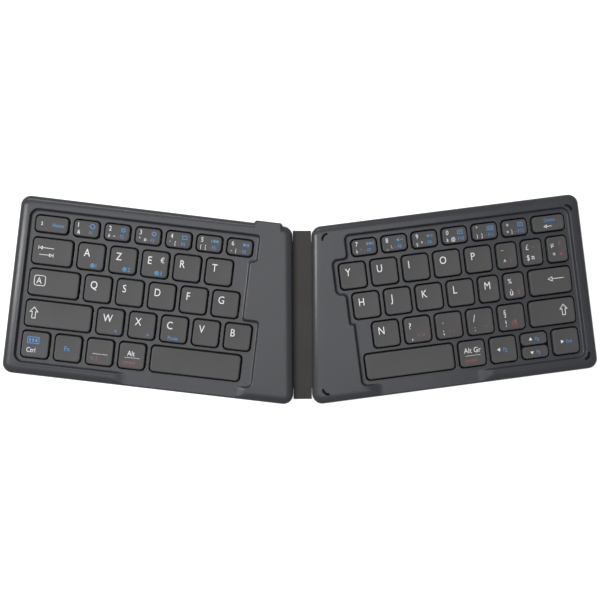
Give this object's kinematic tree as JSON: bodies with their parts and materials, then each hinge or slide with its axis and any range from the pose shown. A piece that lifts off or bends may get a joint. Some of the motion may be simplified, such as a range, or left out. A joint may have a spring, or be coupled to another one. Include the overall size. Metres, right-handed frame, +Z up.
{
  "type": "folding keyboard",
  "caption": "Two-panel folding keyboard: halves angled to each other, sunken key wells with sprung keys, joined by a soft strap with two fold lines.",
  "frame": {"origin": "middle of the open keyboard's bounding box, on the desk plane under the feet", "axes": "+X to the user's right along the desk, +Y away from the user, +Z up out of the keys"},
  "size_m": [0.2998, 0.1052, 0.0074],
  "materials": {
    "top_case": "fine-grained satin, bluish near black",
    "bottom_case": "fine-grained matte, near black",
    "key_cap": "satin",
    "key_plate": "blackened pressed sheet",
    "membrane": "smooth film with a black printed face",
    "mechanism": "smooth moulded, black",
    "rubber": "matte",
    "screw_steel": "plated",
    "magnet": "nickel plated",
    "board": "solder mask",
    "port_steel": "plated",
    "strap": "matte, lightly grained, warm dark grey",
    "foil": "foil pouch",
    "ribbon": "amber film"
  },
  "bodies": {
    "strap": {"hinge_strap": "strap", "ribbon_cable": "ribbon"},
    "left_half": {"left_bottom_case": "bottom_case", "left_top_case": "top_case", "left_key_plate": "key_plate", "left_membrane": "membrane", "left_key_mechanisms": "mechanism", "left_feet": "rubber", "left_screws": "screw_steel", "left_magnets": "magnet", "main_board": "board", "charging_port": "port_steel", "hinge_strap_left_flap": "strap"},
    "right_half": {"right_bottom_case": "bottom_case", "right_top_case": "top_case", "right_key_plate": "key_plate", "right_membrane": "membrane", "right_key_mechanisms": "mechanism", "right_feet": "rubber", "right_screws": "screw_steel", "right_magnets": "magnet", "battery": "foil", "right_corner_bumpers": "rubber", "hinge_strap_right_flap": "strap"},
    "key_a": {"key_a": "key_cap"},
    "key_z": {"key_z": "key_cap"},
    "key_e": {"key_e": "key_cap"},
    "key_r": {"key_r": "key_cap"},
    "key_t": {"key_t": "key_cap"},
    "key_q": {"key_q": "key_cap"},
    "key_s": {"key_s": "key_cap"},
    "key_d": {"key_d": "key_cap"},
    "key_f": {"key_f": "key_cap"},
    "key_g": {"key_g": "key_cap"},
    "key_left_shift": {"key_left_shift": "key_cap"},
    "key_w": {"key_w": "key_cap"},
    "key_x": {"key_x": "key_cap"},
    "key_c": {"key_c": "key_cap"},
    "key_v": {"key_v": "key_cap"},
    "key_b": {"key_b": "key_cap"},
    "key_left_space": {"key_left_space": "key_cap"},
    "key_p": {"key_p": "key_cap"},
    "key_o": {"key_o": "key_cap"},
    "key_i": {"key_i": "key_cap"},
    "key_u": {"key_u": "key_cap"},
    "key_y": {"key_y": "key_cap"},
    "key_enter": {"key_enter": "key_cap"},
    "key_m": {"key_m": "key_cap"},
    "key_l": {"key_l": "key_cap"},
    "key_k": {"key_k": "key_cap"},
    "key_j": {"key_j": "key_cap"},
    "key_h": {"key_h": "key_cap"},
    "key_right_shift": {"key_right_shift": "key_cap"},
    "key_n": {"key_n": "key_cap"},
    "key_right_space": {"key_right_space": "key_cap"},
    "number_keys_left": {"number_keys_left": "key_cap"},
    "side_keys_left": {"side_keys_left": "key_cap"},
    "number_keys_right": {"number_keys_right": "key_cap"},
    "symbol_keys_right": {"symbol_keys_right": "key_cap"},
    "arrow_keys_right": {"arrow_keys_right": "key_cap"}
  },
  "joints": [
    {"name": "fold_left", "type": "hinge", "parent": "strap", "child": "left_half", "pos_m": [-0.0045, 0, 0.0028], "axis": [0, 1, 0], "range_deg": [0, 90], "deforming": ["ribbon_cable"]},
    {"name": "fold_right", "type": "hinge", "parent": "strap", "child": "right_half", "pos_m": [0.0045, 0, 0.0028], "axis": [0, -1, 0], "range_deg": [0, 90], "deforming": ["ribbon_cable"]},
    {"name": "key_a_travel", "type": "slide", "parent": "left_half", "child": "key_a", "axis": [0, 0, -1], "range_m": [0, 0.0015], "stiffness_N_per_m": 250, "springref_m": -0.0008, "deforming": ["left_key_mechanisms"]},
    {"name": "key_z_travel", "type": "slide", "parent": "left_half", "child": "key_z", "axis": [0, 0, -1], "range_m": [0, 0.0015], "stiffness_N_per_m": 250, "springref_m": -0.0008, "deforming": ["left_key_mechanisms"]},
    {"name": "key_e_travel", "type": "slide", "parent": "left_half", "child": "key_e", "axis": [0, 0, -1], "range_m": [0, 0.0015], "stiffness_N_per_m": 250, "springref_m": -0.0008, "deforming": ["left_key_mechanisms"]},
    {"name": "key_r_travel", "type": "slide", "parent": "left_half", "child": "key_r", "axis": [0, 0, -1], "range_m": [0, 0.0015], "stiffness_N_per_m": 250, "springref_m": -0.0008, "deforming": ["left_key_mechanisms"]},
    {"name": "key_t_travel", "type": "slide", "parent": "left_half", "child": "key_t", "axis": [0, 0, -1], "range_m": [0, 0.0015], "stiffness_N_per_m": 250, "springref_m": -0.0008, "deforming": ["left_key_mechanisms"]},
    {"name": "key_q_travel", "type": "slide", "parent": "left_half", "child": "key_q", "axis": [0, 0, -1], "range_m": [0, 0.0015], "stiffness_N_per_m": 250, "springref_m": -0.0008, "deforming": ["left_key_mechanisms"]},
    {"name": "key_s_travel", "type": "slide", "parent": "left_half", "child": "key_s", "axis": [0, 0, -1], "range_m": [0, 0.0015], "stiffness_N_per_m": 250, "springref_m": -0.0008, "deforming": ["left_key_mechanisms"]},
    {"name": "key_d_travel", "type": "slide", "parent": "left_half", "child": "key_d", "axis": [0, 0, -1], "range_m": [0, 0.0015], "stiffness_N_per_m": 250, "springref_m": -0.0008, "deforming": ["left_key_mechanisms"]},
    {"name": "key_f_travel", "type": "slide", "parent": "left_half", "child": "key_f", "axis": [0, 0, -1], "range_m": [0, 0.0015], "stiffness_N_per_m": 250, "springref_m": -0.0008, "deforming": ["left_key_mechanisms"]},
    {"name": "key_g_travel", "type": "slide", "parent": "left_half", "child": "key_g", "axis": [0, 0, -1], "range_m": [0, 0.0015], "stiffness_N_per_m": 250, "springref_m": -0.0008, "deforming": ["left_key_mechanisms"]},
    {"name": "key_left_shift_travel", "type": "slide", "parent": "left_half", "child": "key_left_shift", "axis": [0, 0, -1], "range_m": [0, 0.0015], "stiffness_N_per_m": 250, "springref_m": -0.0008, "deforming": ["left_key_mechanisms"]},
    {"name": "key_w_travel", "type": "slide", "parent": "left_half", "child": "key_w", "axis": [0, 0, -1], "range_m": [0, 0.0015], "stiffness_N_per_m": 250, "springref_m": -0.0008, "deforming": ["left_key_mechanisms"]},
    {"name": "key_x_travel", "type": "slide", "parent": "left_half", "child": "key_x", "axis": [0, 0, -1], "range_m": [0, 0.0015], "stiffness_N_per_m": 250, "springref_m": -0.0008, "deforming": ["left_key_mechanisms"]},
    {"name": "key_c_travel", "type": "slide", "parent": "left_half", "child": "key_c", "axis": [0, 0, -1], "range_m": [0, 0.0015], "stiffness_N_per_m": 250, "springref_m": -0.0008, "deforming": ["left_key_mechanisms"]},
    {"name": "key_v_travel", "type": "slide", "parent": "left_half", "child": "key_v", "axis": [0, 0, -1], "range_m": [0, 0.0015], "stiffness_N_per_m": 250, "springref_m": -0.0008, "deforming": ["left_key_mechanisms"]},
    {"name": "key_b_travel", "type": "slide", "parent": "left_half", "child": "key_b", "axis": [0, 0, -1], "range_m": [0, 0.0015], "stiffness_N_per_m": 250, "springref_m": -0.0008, "deforming": ["left_key_mechanisms"]},
    {"name": "key_left_space_travel", "type": "slide", "parent": "left_half", "child": "key_left_space", "axis": [0, 0, -1], "range_m": [0, 0.0015], "stiffness_N_per_m": 250, "springref_m": -0.0008, "deforming": ["left_key_mechanisms"]},
    {"name": "key_p_travel", "type": "slide", "parent": "right_half", "child": "key_p", "axis": [0, 0, -1], "range_m": [0, 0.0015], "stiffness_N_per_m": 250, "springref_m": -0.0008, "deforming": ["right_key_mechanisms"]},
    {"name": "key_o_travel", "type": "slide", "parent": "right_half", "child": "key_o", "axis": [0, 0, -1], "range_m": [0, 0.0015], "stiffness_N_per_m": 250, "springref_m": -0.0008, "deforming": ["right_key_mechanisms"]},
    {"name": "key_i_travel", "type": "slide", "parent": "right_half", "child": "key_i", "axis": [0, 0, -1], "range_m": [0, 0.0015], "stiffness_N_per_m": 250, "springref_m": -0.0008, "deforming": ["right_key_mechanisms"]},
    {"name": "key_u_travel", "type": "slide", "parent": "right_half", "child": "key_u", "axis": [0, 0, -1], "range_m": [0, 0.0015], "stiffness_N_per_m": 250, "springref_m": -0.0008, "deforming": ["right_key_mechanisms"]},
    {"name": "key_y_travel", "type": "slide", "parent": "right_half", "child": "key_y", "axis": [0, 0, -1], "range_m": [0, 0.0015], "stiffness_N_per_m": 250, "springref_m": -0.0008, "deforming": ["right_key_mechanisms"]},
    {"name": "key_enter_travel", "type": "slide", "parent": "right_half", "child": "key_enter", "axis": [0, 0, -1], "range_m": [0, 0.0015], "stiffness_N_per_m": 250, "springref_m": -0.0008, "deforming": ["right_key_mechanisms"]},
    {"name": "key_m_travel", "type": "slide", "parent": "right_half", "child": "key_m", "axis": [0, 0, -1], "range_m": [0, 0.0015], "stiffness_N_per_m": 250, "springref_m": -0.0008, "deforming": ["right_key_mechanisms"]},
    {"name": "key_l_travel", "type": "slide", "parent": "right_half", "child": "key_l", "axis": [0, 0, -1], "range_m": [0, 0.0015], "stiffness_N_per_m": 250, "springref_m": -0.0008, "deforming": ["right_key_mechanisms"]},
    {"name": "key_k_travel", "type": "slide", "parent": "right_half", "child": "key_k", "axis": [0, 0, -1], "range_m": [0, 0.0015], "stiffness_N_per_m": 250, "springref_m": -0.0008, "deforming": ["right_key_mechanisms"]},
    {"name": "key_j_travel", "type": "slide", "parent": "right_half", "child": "key_j", "axis": [0, 0, -1], "range_m": [0, 0.0015], "stiffness_N_per_m": 250, "springref_m": -0.0008, "deforming": ["right_key_mechanisms"]},
    {"name": "key_h_travel", "type": "slide", "parent": "right_half", "child": "key_h", "axis": [0, 0, -1], "range_m": [0, 0.0015], "stiffness_N_per_m": 250, "springref_m": -0.0008, "deforming": ["right_key_mechanisms"]},
    {"name": "key_right_shift_travel", "type": "slide", "parent": "right_half", "child": "key_right_shift", "axis": [0, 0, -1], "range_m": [0, 0.0015], "stiffness_N_per_m": 250, "springref_m": -0.0008, "deforming": ["right_key_mechanisms"]},
    {"name": "key_n_travel", "type": "slide", "parent": "right_half", "child": "key_n", "axis": [0, 0, -1], "range_m": [0, 0.0015], "stiffness_N_per_m": 250, "springref_m": -0.0008, "deforming": ["right_key_mechanisms"]},
    {"name": "key_right_space_travel", "type": "slide", "parent": "right_half", "child": "key_right_space", "axis": [0, 0, -1], "range_m": [0, 0.0015], "stiffness_N_per_m": 250, "springref_m": -0.0008, "deforming": ["right_key_mechanisms"]},
    {"name": "number_keys_left_travel", "type": "slide", "parent": "left_half", "child": "number_keys_left", "axis": [0, 0, -1], "range_m": [0, 0.0015], "stiffness_N_per_m": 1750, "springref_m": -0.0008, "deforming": ["left_key_mechanisms"]},
    {"name": "side_keys_left_travel", "type": "slide", "parent": "left_half", "child": "side_keys_left", "axis": [0, 0, -1], "range_m": [0, 0.0015], "stiffness_N_per_m": 1500, "springref_m": -0.0008, "deforming": ["left_key_mechanisms"]},
    {"name": "number_keys_right_travel", "type": "slide", "parent": "right_half", "child": "number_keys_right", "axis": [0, 0, -1], "range_m": [0, 0.0015], "stiffness_N_per_m": 1750, "springref_m": -0.0008, "deforming": ["right_key_mechanisms"]},
    {"name": "symbol_keys_right_travel", "type": "slide", "parent": "right_half", "child": "symbol_keys_right", "axis": [0, 0, -1], "range_m": [0, 0.0015], "stiffness_N_per_m": 2250, "springref_m": -0.0008, "deforming": ["right_key_mechanisms"]},
    {"name": "arrow_keys_right_travel", "type": "slide", "parent": "right_half", "child": "arrow_keys_right", "axis": [0, 0, -1], "range_m": [0, 0.0015], "stiffness_N_per_m": 1000, "springref_m": -0.0008, "deforming": ["right_key_mechanisms"]}
  ],
  "couplings": [
    {"joint": "fold_right", "follows": "fold_left", "ratio": 1}
  ]
}
